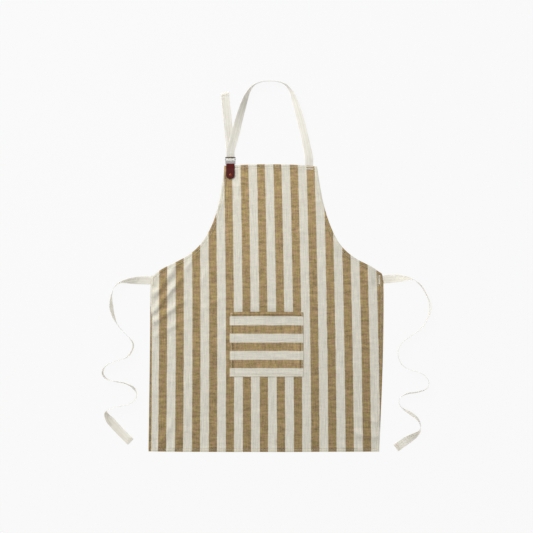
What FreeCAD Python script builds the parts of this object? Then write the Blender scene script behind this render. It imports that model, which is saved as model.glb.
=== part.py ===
"""Bib apron laid out flat: striped body, patch pocket, neck strap on a buckle with a
leather tab, and two waist ties. Millimetres. +X to the viewer's right, +Y up towards the
neck strap, +Z towards the viewer, with the surface it lies on at z = 0."""
import FreeCAD
import Part

import math
import os

from FreeCAD import Vector

# Driving dimensions ---------------------------------------------------------------
HALF_WIDTH = 350.0  # half the body's width
BOTTOM_Y = -553.0  # bottom hem

CLOTH = 0.8  # main cloth, thickness
HEM_DEPTH = 1.2  # hem turned twice to the back
HEM_WIDTH = 10.0
CLOTH_Z = HEM_DEPTH  # underside of the single cloth
FRONT_Z = CLOTH_Z + CLOTH  # face of the apron

WEBBING_W = 25.0  # neck strap
WEBBING_T = 1.2
TIE_W = 25.0  # waist ties
TIE_T = 1.1

BUCKLE_X = -106.0
AXIS_Y = 304.0  # the buckle's hinge bar, in the fold of the leather tab
BAR_R = 1.1
BAR_PLAY = 0.1
LEATHER = 1.3
AXIS_Z = FRONT_Z + LEATHER + BAR_PLAY + BAR_R

THREAD = 0.5  # width of a seam's thread line
THREAD_H = 0.25
SEAM_INSET = 8.5  # a hem's stitch line from the edge
SEAM_STOP = 9.5  # how far short of a corner a hem's stitch line stops
TIE_STOP = 28.0  # and how far short of a waist tie's box stitch

STEP_DIR = "parts"


# Small helpers --------------------------------------------------------------------
def box(x0, x1, y0, y1, z0, z1):
    return Part.makeBox(x1 - x0, y1 - y0, z1 - z0, Vector(x0, y0, z0))


def polygon(points):
    return Part.makePolygon([Vector(*p) for p in points] + [Vector(*points[0])])


def smooth(points, z):
    """One smooth edge through flat points; two points give a straight edge."""
    ends = [Vector(x, y, z) for x, y in points]
    if len(ends) == 2:
        return Part.LineSegment(*ends).toShape()
    curve = Part.BSplineCurve()
    curve.interpolate(ends)
    return curve.toShape()


def offset_side(points, inset, trim_start, trim_end, samples=24):
    """Points that follow a side at a fixed distance inside it (to the left of travel)."""
    edge = smooth(points, 0.0)
    length = edge.Length
    out = []
    for i in range(samples + 1):
        s = trim_start + (length - trim_start - trim_end) * i / samples
        u = edge.LastParameter if i == samples and not trim_end else edge.getParameterByLength(s)
        p = edge.valueAt(u)
        t = edge.tangentAt(u)
        out.append((p.x - t.y * inset, p.y + t.x * inset))
    return out


def seam_line(points, z0):
    """A line of thread lying on a face: a thin strip along a flat path."""
    left = offset_side(points, THREAD / 2, 0, 0)
    right = offset_side(points, -THREAD / 2, 0, 0)
    wire = Part.Wire([
        smooth(left, z0),
        smooth([left[-1], right[-1]], z0),
        smooth(right[::-1], z0),
        smooth([right[0], left[0]], z0),
    ])
    return Part.Face(wire).extrude(Vector(0, 0, THREAD_H))


def straight_seam(x0, y0, x1, y1, z0):
    return seam_line([(x0, y0), (x1, y1)], z0)


def joined(shapes):
    """One solid from shapes that touch."""
    result = shapes[0]
    for shape in shapes[1:]:
        result = result.fuse(shape)
    return result.removeSplitter()


def save(name, shape):
    solids = shape.Solids
    if not shape.isValid() or not solids:
        raise ValueError(name + " is not a valid solid")
    shape.exportStep(os.path.join(STEP_DIR, name + ".step"))
    size = shape.optimalBoundingBox(False, False)
    print(f"{name}: {len(solids)} solid(s), {shape.Volume / 1000:.2f} cm3, "
          f"x {size.XMin:.1f}..{size.XMax:.1f} y {size.YMin:.1f}..{size.YMax:.1f} "
          f"z {size.ZMin:.2f}..{size.ZMax:.2f}")
    return shape


# Outline of the body, anticlockwise, side by side ----------------------------------
TOP_LEFT = (-124.0, 299.5)
TOP_RIGHT = (152.0, 297.0)
WAIST_LEFT = (-343.5, -38.0)
WAIST_RIGHT = (HALF_WIDTH - 0.2, -47.0)
HEM_LEFT = (-HALF_WIDTH, BOTTOM_Y + 1.5)
HEM_RIGHT = (337.0, BOTTOM_Y + 1.0)

SIDES = {
    "top": [TOP_RIGHT, (90.0, 302.0), (15.0, 303.5), (-55.0, 302.5), (-90.0, 300.7), TOP_LEFT],
    "left_armhole": [
        TOP_LEFT, (-135.0, 217.0), (-153.0, 143.0), (-181.5, 84.0), (-219.0, 42.0),
        (-267.0, 13.0), (-316.0, -12.5), WAIST_LEFT,
    ],
    "left_side": [WAIST_LEFT, (-344.5, -150.0), (-347.0, -345.0), HEM_LEFT],
    "bottom": [HEM_LEFT, (-180.0, BOTTOM_Y), (120.0, BOTTOM_Y), HEM_RIGHT],
    "right_side": [HEM_RIGHT, (341.0, -458.0), (346.0, -339.0), (349.6, -190.0), WAIST_RIGHT],
    "right_armhole": [
        WAIST_RIGHT, (332.0, -14.0), (281.0, 15.5), (230.0, 54.0), (190.0, 125.0),
        (168.0, 200.0), TOP_RIGHT,
    ],
}

# Where the straps are sewn on behind the hem
NECK_END_X = 128.5
NECK_END_Y = (286.0, AXIS_Y)
TIE_LEFT_Y = -42.0
TIE_RIGHT_Y = -40.0
NOTCH = 0.15  # clearance around a strap let into the hem

RIVET_Y = 272.0
RIVET_HOLE_R = 1.5


def outline_face(sides, z):
    return Part.Face(Part.Wire([smooth(points, z) for points in sides]))


def mitred(before, after, inset):
    """Where two sides' inset lines cross inside the corner that the sides share."""
    t0 = smooth(before, 0.0).tangentAt(smooth(before, 0.0).LastParameter)
    t1 = smooth(after, 0.0).tangentAt(smooth(after, 0.0).FirstParameter)
    x, y = after[0]
    reach = inset / (1 + t0.dot(t1))
    return x - (t0.y + t1.y) * reach, y + (t0.x + t1.x) * reach


def inset_sides(inset):
    """The sides drawn again at a fixed distance inside the outline."""
    sides = list(SIDES.values())
    corners = [mitred(sides[i - 1], side, inset) for i, side in enumerate(sides)]
    out = []
    for i, side in enumerate(sides):
        inner = offset_side(side, inset, 3 * inset, 3 * inset, 10)
        out.append([corners[i]] + inner + [corners[(i + 1) % len(sides)]])
    return out


def apron_panel():
    """The striped cloth with its edges turned twice to the back."""
    slab = outline_face(SIDES.values(), 0.0).extrude(Vector(0, 0, FRONT_Z))
    inside = outline_face(inset_sides(HEM_WIDTH), -1.0)
    half = WEBBING_W / 2 + NOTCH
    cuts = [
        inside.extrude(Vector(0, 0, CLOTH_Z + 1)),
        box(NECK_END_X - half, NECK_END_X + half, NECK_END_Y[0] - 20, 320, -1, CLOTH_Z),
        Part.makeCylinder(RIVET_HOLE_R, 6, Vector(BUCKLE_X, RIVET_Y, -1)),
    ]
    for x0, x1, y in ((-360, -320, TIE_LEFT_Y), (320, 360, TIE_RIGHT_Y)):
        cuts.append(box(x0, x1, y - TIE_W / 2 - NOTCH, y + TIE_W / 2 + NOTCH, -1, CLOTH_Z))
    for tool in cuts:
        slab = slab.cut(tool)
    return slab


# Pocket ---------------------------------------------------------------------------
POCKET_X = (-108.0, 111.0)
POCKET_Y = (-329.0, -138.0)
POCKET_SEAM = 12.0  # width of the flat, sewn edge
POCKET_EASE = 8.6  # how far its mouth stands off the body
POCKET_RISE = 40.0  # run of cloth from the seam up to the full height
POCKET_SEAM_INSET = 3.6


def mouth_shell(x0, x1, y, skin, height):
    """One cross-section of the pocket's front, as a flat-topped arch."""
    top = FRONT_Z + height + skin
    return polygon([
        (x0, y, FRONT_Z), (x0, y, FRONT_Z + skin), (x0 + POCKET_RISE, y, top),
        (x1 - POCKET_RISE, y, top), (x1, y, FRONT_Z + skin), (x1, y, FRONT_Z),
    ])


def pocket():
    """Square patch pocket, sewn on three sides and open at the top."""
    x0, x1 = POCKET_X
    y0, y1 = POCKET_Y
    sx0, sx1, sy0 = x0 + POCKET_SEAM, x1 - POCKET_SEAM, y0 + POCKET_SEAM
    flat = box(x0, x1, y0, y1, FRONT_Z, FRONT_Z + CLOTH)
    flat = flat.cut(box(sx0, sx1, sy0, y1 + 1, 0, 10))
    outer = Part.makeLoft([
        mouth_shell(sx0, sx1, sy0, CLOTH, 0.1),
        mouth_shell(sx0, sx1, y1, CLOTH, POCKET_EASE),
    ], True, True)
    hollow = Part.makeLoft([
        mouth_shell(sx0 + CLOTH, sx1 - CLOTH, sy0 + CLOTH, 0.05, 0.05),
        mouth_shell(sx0 + CLOTH, sx1 - CLOTH, y1 + 1, 0.05, POCKET_EASE),
    ], True, True)
    return joined([flat, outer.cut(hollow)])


# Leather tab and rivet ------------------------------------------------------------
TAB_W = 25.0
TAB_END_Y = 260.0
FOLD_R = BAR_R + BAR_PLAY
LEGS_MEET_Y = 293.0
LEATHER_TOP = FRONT_Z + 2 * LEATHER


def leather_tab():
    """A strip folded round the buckle's bar, both legs riveted to the bib."""
    outer_r = FOLD_R + LEATHER
    c_y, c_z = AXIS_Y, AXIS_Z

    def at(y, z):
        return Vector(0, y, z)

    outer = Part.Wire([
        Part.LineSegment(at(TAB_END_Y - 1, FRONT_Z), at(c_y, FRONT_Z)).toShape(),
        Part.Arc(at(c_y, c_z - outer_r), at(c_y + outer_r, c_z), at(c_y, c_z + outer_r)).toShape(),
        Part.LineSegment(at(c_y, c_z + outer_r), at(LEGS_MEET_Y - 1, LEATHER_TOP)).toShape(),
        Part.LineSegment(at(LEGS_MEET_Y - 1, LEATHER_TOP), at(TAB_END_Y - 1, LEATHER_TOP)).toShape(),
        Part.LineSegment(at(TAB_END_Y - 1, LEATHER_TOP), at(TAB_END_Y - 1, FRONT_Z)).toShape(),
    ])
    eye = Part.Wire([
        Part.Arc(at(c_y, c_z - FOLD_R), at(c_y + FOLD_R, c_z), at(c_y, c_z + FOLD_R)).toShape(),
        Part.LineSegment(at(c_y, c_z + FOLD_R), at(LEGS_MEET_Y, FRONT_Z + LEATHER)).toShape(),
        Part.LineSegment(at(LEGS_MEET_Y, FRONT_Z + LEATHER), at(c_y, c_z - FOLD_R)).toShape(),
    ])
    strip = Part.Face(outer).cut(Part.Face(eye)).extrude(Vector(TAB_W, 0, 0))
    strip.translate(Vector(BUCKLE_X - TAB_W / 2, 0, 0))
    corner = 10.0
    plan = box(BUCKLE_X - TAB_W / 2, BUCKLE_X + TAB_W / 2, TAB_END_Y, c_y + 10, 0, 20)
    upright = [
        e for e in plan.Edges
        if abs(e.tangentAt(e.FirstParameter).z) > 0.9 and abs(e.CenterOfMass.y - TAB_END_Y) < 0.01
    ]
    plan = plan.makeFillet(corner, upright)
    hole = Part.makeCylinder(RIVET_HOLE_R, 20, Vector(BUCKLE_X, RIVET_Y, -1))
    return strip.common(plan).cut(hole)


RIVET_R = 4.0
RIVET_HEAD = 1.5
RIVET_STEM_R = 1.2
RIVET_BASE = 1.0


def rivet_cap():
    """Domed copper cap on the leather, bored from behind for the post."""
    sphere_r = (RIVET_R ** 2 + RIVET_HEAD ** 2) / (2 * RIVET_HEAD)
    base = Vector(BUCKLE_X, RIVET_Y, LEATHER_TOP)
    ball = Part.makeSphere(sphere_r, base + Vector(0, 0, RIVET_HEAD - sphere_r))
    dome = ball.common(Part.makeCylinder(RIVET_R + 1, RIVET_HEAD + 1, base))
    shank = Part.makeCylinder(RIVET_HOLE_R, 0.8, base - Vector(0, 0, 0.8))
    socket = Part.makeCylinder(RIVET_STEM_R, 1.5, base - Vector(0, 0, 0.9))
    return joined([dome, shank]).cut(socket)


def rivet_post():
    """Flat head behind the bib with a stem pressed up into the cap."""
    top = LEATHER_TOP + 0.6
    start = CLOTH_Z - RIVET_BASE
    base = Part.makeCylinder(RIVET_R, RIVET_BASE, Vector(BUCKLE_X, RIVET_Y, start))
    stem = Part.makeCylinder(RIVET_STEM_R, top - start, Vector(BUCKLE_X, RIVET_Y, start))
    return joined([base, stem])


# Buckle ---------------------------------------------------------------------------
FRAME_HALF = 15.2  # half the frame's outer width
WINDOW_HALF = 13.2
PLATE_Z = (AXIS_Z - 0.9, AXIS_Z + 0.9)
BROAD_RAIL_Y = (AXIS_Y + 3.2, AXIS_Y + 8.6)
TOP_RAIL_Y = (322.4, 324.8)
CROSS_BAR_R = 0.9
CROSS_BAR_Y = 317.7
CROSS_BAR_Z = 2.45
CROSS_BAR_TRAVEL = 2.4
STRAP_GAP = 0.3  # between the cross bar and the webbing round it


def buckle_frame():
    """Flat frame with a round hinge bar, a broad middle rail and a top rail."""
    z0, z1 = PLATE_Z
    x0, x1 = BUCKLE_X - FRAME_HALF, BUCKLE_X + FRAME_HALF
    low, high = AXIS_Y - 1.3, TOP_RAIL_Y[1]
    plate = box(x0, x1, low, high, z0, z1)
    corners = [e for e in plate.Edges if abs(e.tangentAt(e.FirstParameter).z) > 0.9]
    plate = plate.makeFillet(1.2, corners)
    wx0, wx1 = BUCKLE_X - WINDOW_HALF, BUCKLE_X + WINDOW_HALF
    strap_window = box(wx0, wx1, BROAD_RAIL_Y[1], TOP_RAIL_Y[0], z0 - 1, z1 + 1)
    tab_window = box(wx0, wx1, low - 1, BROAD_RAIL_Y[0], z0 - 1, z1 + 1)
    windows = strap_window.fuse(tab_window)
    frame = plate.cut(windows)
    rims = [
        e for e in frame.Edges
        if abs(e.CenterOfMass.z - z1) < 0.01 and e.CenterOfMass.y > BROAD_RAIL_Y[0] - 0.5
    ]
    frame = frame.makeFillet(0.4, rims)
    bar = Part.makeCylinder(BAR_R, 2 * WINDOW_HALF + 1.0,
                            Vector(wx0 - 0.5, AXIS_Y, AXIS_Z), Vector(1, 0, 0))
    return joined([frame, bar])


def buckle_cross_bar():
    """Loose bar that the webbing turns round, hooked over both side rails."""
    reach = FRAME_HALF + 0.1
    wall = 0.7
    end = reach + wall
    y0, y1 = CROSS_BAR_Y - 1.4, CROSS_BAR_Y + 1.4
    low, high = CROSS_BAR_Z - CROSS_BAR_R, PLATE_Z[1] + 0.1
    bar = Part.makeCylinder(CROSS_BAR_R, 2 * (end - 0.3),
                            Vector(BUCKLE_X - end + 0.3, CROSS_BAR_Y, CROSS_BAR_Z), Vector(1, 0, 0))
    pieces = [bar]
    for side in (-1, 1):
        xs = sorted((BUCKLE_X + side * reach, BUCKLE_X + side * end))
        hook = sorted((BUCKLE_X + side * (WINDOW_HALF + 0.5), BUCKLE_X + side * end))
        pieces.append(box(xs[0], xs[1], y0, y1, low, high + wall))
        pieces.append(box(hook[0], hook[1], y0, y1, high, high + wall))
    return joined(pieces)


# Routes of the webbing and ties -----------------------------------------------------
# Each point is x, y, roll in degrees (0 flat, 90 on edge, right side of travel up) and the
# height of the lowest edge. The route is straight runs joined by tangent arcs.
LAID = 0.05
LOOP_Z = 1.5  # the loop passes over the tail
NECK_LOOP = [
    (128.5, 304.6, 0, LAID), (128.5, 325, 12, LAID), (123.0, 354, 25, LAID),
    (115.5, 391, 32, LAID), (106.0, 430, 34, LAID), (95.5, 466, 44, LAID),
    (84.0, 500, 57, LAID), (72.0, 530, 74, LAID), (54.0, 546, 84, LAID),
    (27.0, 552.4, 88, LAID), (-3.0, 552.1, 88, LAID), (-28.0, 546.5, 85, LAID),
    (-46.0, 529, 77, LAID), (-58.5, 503, 58, LAID), (-68.5, 472, 42, LAID),
    (-79.5, 437, 27, 0.6), (-88.5, 401, 12, LOOP_Z), (-98.0, 367, 3, LOOP_Z),
    (-106.0, 344, 0, LOOP_Z), (-106.0, 329, 0, LOOP_Z),
]
NECK_TAIL = [
    (-106.0, 329, 0, LAID), (-106.0, 345, 0, LAID), (-108.0, 372, 0, LAID),
    (-112.0, 406, 0, LAID), (-115.0, 444, 0, LAID), (-119.0, 481, 0, LAID),
    (-122.0, 516, 0, LAID),
]
LEFT_TIE = [
    (-327.5, -42, 0, LAID), (-350, -42.6, 0, LAID), (-375, -42, 15, LAID),
    (-405, -43.5, 48, LAID), (-437, -47, 82, LAID), (-454, -64, 86, LAID),
    (-462, -90, 70, LAID), (-462, -120, 64, LAID), (-455, -148, 70, LAID),
    (-443, -174, 86, LAID), (-425, -194, 88, LAID), (-408, -210, 88, LAID),
    (-392, -230, 84, LAID), (-398, -254, 82, LAID), (-415, -274, 86, LAID),
    (-446, -281, 88, LAID), (-476, -293, 88, LAID), (-489, -316, 84, LAID),
    (-475, -337, 86, LAID), (-446, -343.5, 88, LAID), (-415, -348, 86, LAID),
    (-390, -364, 82, LAID), (-381, -385, 86, LAID), (-402, -411, 90, LAID),
    (-440, -417, 90, LAID), (-476, -426, 86, LAID), (-480, -449, 64, LAID),
    (-456, -474, 22, LAID), (-430, -500, 0, LAID), (-404, -525, 0, LAID),
]
RIGHT_TIE = [
    (334.5, -40, 0, LAID), (357, -39.6, 0, LAID), (382, -37, 12, LAID),
    (410, -35.8, 50, LAID), (438, -37, 84, LAID), (459, -54, 88, LAID),
    (475, -80, 88, LAID), (487, -106, 86, LAID), (488, -134, 88, LAID),
    (476, -166, 88, LAID), (455, -192, 88, LAID), (430, -208, 88, LAID),
    (404, -226, 86, LAID), (389, -255, 82, LAID), (398, -290, 86, LAID),
    (424, -308, 88, LAID), (458, -314, 88, LAID), (485, -336, 84, LAID),
    (482, -365, 86, LAID), (448, -375, 88, LAID), (414, -378, 86, LAID),
    (391, -397, 82, LAID), (402, -422, 84, LAID), (430, -437, 80, LAID),
    (454, -455, 74, LAID), (463, -482, 66, LAID), (445, -503, 34, LAID),
    (417, -520, 0, LAID), (388, -541, 0, LAID),
]
ARC_STEP = math.radians(7)
RUN_STEP = 14.0


def unit(dx, dy):
    size = math.hypot(dx, dy)
    return dx / size, dy / size


def rounded(route):
    """Stations (x, y, heading, length so far) along runs joined by tangent arcs, with the
    length at each route point, and the arcs' radii."""
    stations, at_point, radii = [], [], []
    x, y = route[0][:2]
    heading = math.atan2(route[1][1] - y, route[1][0] - x)
    total = 0.0

    def advance(nx, ny, new_heading):
        nonlocal x, y, heading, total
        total += math.hypot(nx - x, ny - y)
        x, y, heading = nx, ny, new_heading
        stations.append((x, y, heading, total))

    def straight(nx, ny):
        run = math.hypot(nx - x, ny - y)
        count = max(1, math.ceil(run / RUN_STEP))
        sx, sy = x, y
        for i in range(1, count + 1):
            advance(sx + (nx - sx) * i / count, sy + (ny - sy) * i / count, heading)

    stations.append((x, y, heading, 0.0))
    at_point.append(0.0)
    for before, here, after in zip(route, route[1:], route[2:]):
        in_x, in_y = unit(here[0] - before[0], here[1] - before[1])
        out_x, out_y = unit(after[0] - here[0], after[1] - here[1])
        run_in = math.hypot(here[0] - before[0], here[1] - before[1])
        run_out = math.hypot(after[0] - here[0], after[1] - here[1])
        turn = math.atan2(in_x * out_y - in_y * out_x, in_x * out_x + in_y * out_y)
        reach = 0.45 * min(run_in, run_out)
        radius = reach / math.tan(abs(turn) / 2)
        radii.append(radius)
        straight(here[0] - in_x * reach, here[1] - in_y * reach)
        start, side = heading, math.copysign(1.0, turn)
        centre_x = x - math.sin(start) * radius * side
        centre_y = y + math.cos(start) * radius * side
        count = max(2, math.ceil(abs(turn) / ARC_STEP))
        middle = total + radius * abs(turn) / 2
        for i in range(1, count + 1):
            h = start + turn * i / count
            advance(centre_x + math.sin(h) * radius * side, centre_y - math.cos(h) * radius * side, h)
        at_point.append(middle)
    straight(*route[-1][:2])
    at_point.append(total)
    return stations, at_point, radii


def between(value, marks, levels):
    """Linear interpolation."""
    for m0, m1, v0, v1 in zip(marks, marks[1:], levels, levels[1:]):
        if value <= m1:
            return v0 + (v1 - v0) * max(0.0, value - m0) / (m1 - m0)
    return levels[-1]


def section(x, y, heading, roll, base, width, thick):
    """Rectangle across a tape, rolled about its route, its lowest corner at base."""
    right = Vector(math.sin(heading), -math.cos(heading), 0)
    across = right * math.cos(roll) + Vector(0, 0, math.sin(roll))
    through = right * -math.sin(roll) + Vector(0, 0, math.cos(roll))
    height = base + width / 2 * abs(math.sin(roll)) + thick / 2 * abs(math.cos(roll))
    centre = Vector(x, y, height)
    corners = [
        centre + across * (width / 2 * a) + through * (thick / 2 * b)
        for a, b in ((-1, -1), (1, -1), (1, 1), (-1, 1))
    ]
    return Part.makePolygon(corners + [corners[0]])


def tape(name, route, width, thick):
    """Tape along a route: flat, leaning or on edge as each point says."""
    stations, marks, radii = rounded(route)
    rolls = [math.radians(p[2]) for p in route]
    bases = [p[3] for p in route]
    wires = [
        section(x, y, h, between(s, marks, rolls), between(s, marks, bases), width, thick)
        for x, y, h, s in stations
    ]
    solid = Part.makeLoft(wires, True, True)
    length = stations[-1][3]
    print(f"{name}: length {length:.0f}, radii " + " ".join(f"{r:.0f}" for r in radii))
    print(f"   volume {solid.Volume:.0f} against section x length {width * thick * length:.0f}")
    return solid


# Neck strap -------------------------------------------------------------------------
BIGHT_Y = CROSS_BAR_Y - CROSS_BAR_TRAVEL  # centre of the webbing's turn round the bar
DIP_Y = (317.6, 322.2)  # where the upper leg dips behind the top rail


def strap_turn():
    """The webbing from the loop, over the cross bar, round it and back as the tail."""
    inner = CROSS_BAR_R + STRAP_GAP
    outer = inner + WEBBING_T
    leg = CROSS_BAR_Z + inner + WEBBING_T / 2
    low = LOOP_Z + WEBBING_T / 2
    dy, dz = DIP_Y[1] - DIP_Y[0], leg - low
    bend = (dy ** 2 + dz ** 2) / (4 * dz)
    c1 = (DIP_Y[0], leg - bend)
    c2 = (DIP_Y[1], low + bend)
    toward = unit(c2[0] - c1[0], c2[1] - c1[1])
    half_turn = math.atan2(toward[0], toward[1])
    end_y = NECK_TAIL[0][1]

    def at(y, z):
        return Vector(0, y, z)

    def line(a, b):
        return Part.LineSegment(a, b).toShape()

    def arc(centre, radius, first, last):
        """Arc by angles from straight up, positive towards +Y."""
        def point(angle):
            return at(centre[0] + radius * math.sin(angle), centre[1] + radius * math.cos(angle))
        return Part.Arc(point(first), point((first + last) / 2), point(last)).toShape()

    thin, thick = bend - WEBBING_T / 2, bend + WEBBING_T / 2
    turn = (BIGHT_Y, CROSS_BAR_Z)
    floor, ceiling = CROSS_BAR_Z - outer, CROSS_BAR_Z + outer
    edges = [
        line(at(end_y, floor), at(BIGHT_Y, floor)),
        arc(turn, outer, -math.pi, 0),
        line(at(BIGHT_Y, ceiling), at(DIP_Y[0], ceiling)),
        arc(c1, thick, 0, half_turn),
        arc(c2, thin, half_turn + math.pi, math.pi),
        line(at(DIP_Y[1], low + WEBBING_T / 2), at(end_y, low + WEBBING_T / 2)),
        line(at(end_y, low + WEBBING_T / 2), at(end_y, LOOP_Z)),
        line(at(end_y, LOOP_Z), at(DIP_Y[1], LOOP_Z)),
        arc(c2, thick, math.pi, half_turn + math.pi),
        arc(c1, thin, half_turn, 0),
        line(at(DIP_Y[0], CROSS_BAR_Z + inner), at(BIGHT_Y, CROSS_BAR_Z + inner)),
        arc(turn, inner, 0, -math.pi),
        line(at(BIGHT_Y, CROSS_BAR_Z - inner), at(end_y, CROSS_BAR_Z - inner)),
        line(at(end_y, CROSS_BAR_Z - inner), at(end_y, floor)),
    ]
    solid = Part.Face(Part.Wire(edges)).extrude(Vector(WEBBING_W, 0, 0))
    solid.translate(Vector(BUCKLE_X - WEBBING_W / 2, 0, 0))
    return solid


def neck_strap():
    loop = tape("neck loop", NECK_LOOP, WEBBING_W, WEBBING_T)
    tail = tape("neck tail", NECK_TAIL, WEBBING_W, WEBBING_T)
    return loop.fuse(strap_turn()).fuse(tail)


def neck_strap_end():
    half = WEBBING_W / 2
    return box(NECK_END_X - half, NECK_END_X + half, NECK_END_Y[0], NECK_END_Y[1],
               0.0, WEBBING_T - 0.05)


# Seams ------------------------------------------------------------------------------
def hem_seam(side):
    """A hem's stitch line, which stops short of whatever else is sewn at its ends."""
    stops = {
        "top": (TOP_RIGHT[0] - NECK_END_X + WEBBING_W / 2, BUCKLE_X + TAB_W / 2 + 1 - TOP_LEFT[0]),
        "left_armhole": (TOP_LEFT[1] - TAB_END_Y + 4.0, TIE_STOP),
        "left_side": (TIE_STOP, SEAM_STOP),
        "right_side": (SEAM_STOP, TIE_STOP),
        "right_armhole": (TIE_STOP, SEAM_STOP),
    }
    path = offset_side(SIDES[side], SEAM_INSET, *stops.get(side, (SEAM_STOP, SEAM_STOP)))
    return seam_line(path, FRONT_Z)


def pocket_seam():
    x0, x1 = (POCKET_X[0] + POCKET_SEAM_INSET, POCKET_X[1] - POCKET_SEAM_INSET)
    y0, y1 = POCKET_Y[0] + POCKET_SEAM_INSET, POCKET_Y[1] - 1.0
    z = FRONT_Z + CLOTH
    half = THREAD / 2
    outer = box(x0 - half, x1 + half, y0 - half, y1, z, z + THREAD_H)
    return outer.cut(box(x0 + half, x1 - half, y0 + half, y1 + 1, z - 1, z + 2))


def pocket_hem_seam():
    """A line of thread across the raised front of the pocket, under its mouth."""
    y = POCKET_Y[1] - 12.0
    sx0, sx1 = POCKET_X[0] + POCKET_SEAM, POCKET_X[1] - POCKET_SEAM
    run = (y - (POCKET_Y[0] + POCKET_SEAM)) / (POCKET_Y[1] - POCKET_Y[0] - POCKET_SEAM)
    low, high = FRONT_Z + CLOTH, FRONT_Z + CLOTH + 0.1 + (POCKET_EASE - 0.1) * run
    path = [(sx0, low), (sx0 + POCKET_RISE, high), (sx1 - POCKET_RISE, high), (sx1, low)]
    lift = 0.05
    points = [(x, y, z + lift) for x, z in path]
    points += [(x, y, z + lift + THREAD_H) for x, z in path[::-1]]
    face = Part.Face(polygon(points))
    return face.extrude(Vector(0, -THREAD, 0))


def neck_end_seam():
    """Two rows that hold the strap's end behind the hem, tied at one side."""
    half = WEBBING_W / 2 - 2.0
    x0, x1 = NECK_END_X - half, NECK_END_X + half
    rows = [straight_seam(x0, y, x1, y, FRONT_Z) for y in (297.0, 289.0)]
    return joined(rows + [straight_seam(x1, 288.75, x1, 297.25, FRONT_Z)])


def ring_seam(x0, x1, y0, y1, z):
    half = THREAD / 2
    outer = box(x0 - half, x1 + half, y0 - half, y1 + half, z, z + THREAD_H)
    return outer.cut(box(x0 + half, x1 - half, y0 + half, y1 - half, z - 1, z + 2))


def tie_box_seam(side, y):
    """The long, narrow box stitch that holds a tie behind the side hem."""
    xs = sorted((side * 331.5, side * 338.5))
    return ring_seam(xs[0], xs[1], y - 11.0, y + 11.0, FRONT_Z)


def end_seam(route, width, thick, inset=9.0):
    """The line across a tape's hemmed end, on its upper face."""
    (x0, y0), (x1, y1) = route[-2][:2], route[-1][:2]
    ux, uy = unit(x1 - x0, y1 - y0)
    cx, cy = x1 - ux * inset, y1 - uy * inset
    half = width / 2 - 1.5
    top = route[-1][3] + thick
    return straight_seam(cx - uy * half, cy + ux * half, cx + uy * half, cy - ux * half, top)


# Build ------------------------------------------------------------------------------
def main():
    os.makedirs("parts", exist_ok=True)
    save("apron_panel", apron_panel())
    save("pocket", pocket())
    save("leather_tab", leather_tab())
    save("rivet_cap", rivet_cap())
    save("rivet_post", rivet_post())
    save("buckle_frame", buckle_frame())
    save("buckle_cross_bar", buckle_cross_bar())
    save("neck_strap", neck_strap())
    save("neck_strap_sewn_end", neck_strap_end())
    save("left_waist_tie", tape("left tie", LEFT_TIE, TIE_W, TIE_T))
    save("right_waist_tie", tape("right tie", RIGHT_TIE, TIE_W, TIE_T))
    for side in SIDES:
        save(side + "_seam", hem_seam(side))
    save("pocket_seam", pocket_seam())
    save("pocket_mouth_seam", pocket_hem_seam())
    save("neck_strap_seam", neck_end_seam())
    save("left_tie_seam", tie_box_seam(-1, TIE_LEFT_Y))
    save("right_tie_seam", tie_box_seam(1, TIE_RIGHT_Y))
    save("strap_tail_seam", end_seam(NECK_TAIL, WEBBING_W, WEBBING_T))
    save("left_tie_end_seam", end_seam(LEFT_TIE, TIE_W, TIE_T))
    save("right_tie_end_seam", end_seam(RIGHT_TIE, TIE_W, TIE_T))


main()
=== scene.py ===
"""Looks of the bib apron: striped cotton body and pocket, webbing neck strap on a nickel
buckle with a leather tab, and two cotton waist ties, laid out flat. Lengths in metres."""
import math

import bpy
import numpy as np
from mathutils.geometry import delaunay_2d_cdt
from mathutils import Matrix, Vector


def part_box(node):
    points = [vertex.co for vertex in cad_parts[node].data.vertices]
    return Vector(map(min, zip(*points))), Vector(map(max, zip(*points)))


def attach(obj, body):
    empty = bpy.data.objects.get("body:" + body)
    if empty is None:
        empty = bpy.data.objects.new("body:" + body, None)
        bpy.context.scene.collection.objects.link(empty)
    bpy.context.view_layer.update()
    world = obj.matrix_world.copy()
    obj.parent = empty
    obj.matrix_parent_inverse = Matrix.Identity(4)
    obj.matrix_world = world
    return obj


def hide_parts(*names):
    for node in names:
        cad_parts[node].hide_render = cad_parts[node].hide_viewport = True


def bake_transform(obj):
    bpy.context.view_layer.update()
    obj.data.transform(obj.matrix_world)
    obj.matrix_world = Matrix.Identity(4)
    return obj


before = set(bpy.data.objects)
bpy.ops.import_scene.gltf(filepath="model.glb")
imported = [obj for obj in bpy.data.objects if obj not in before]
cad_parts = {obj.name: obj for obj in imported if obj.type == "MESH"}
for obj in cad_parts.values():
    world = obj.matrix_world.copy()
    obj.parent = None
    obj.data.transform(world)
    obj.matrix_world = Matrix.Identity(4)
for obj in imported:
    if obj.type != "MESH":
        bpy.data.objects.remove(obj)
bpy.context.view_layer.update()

MM = 0.001
SCENE = bpy.context.scene
rng = np.random.default_rng(7)


# ---- camera
PICTURE_W = 1.5883  # width of the surface that the picture takes in
LENS, SENSOR = 85.0, 36.0
SCENE.camera = bpy.data.objects.new("camera", bpy.data.cameras.new("camera"))
SCENE.camera.data.lens, SCENE.camera.data.sensor_width = LENS, SENSOR
SCENE.camera.location = (1.5 * MM, -0.9 * MM, PICTURE_W * LENS / SENSOR)
SCENE.collection.objects.link(SCENE.camera)


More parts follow.
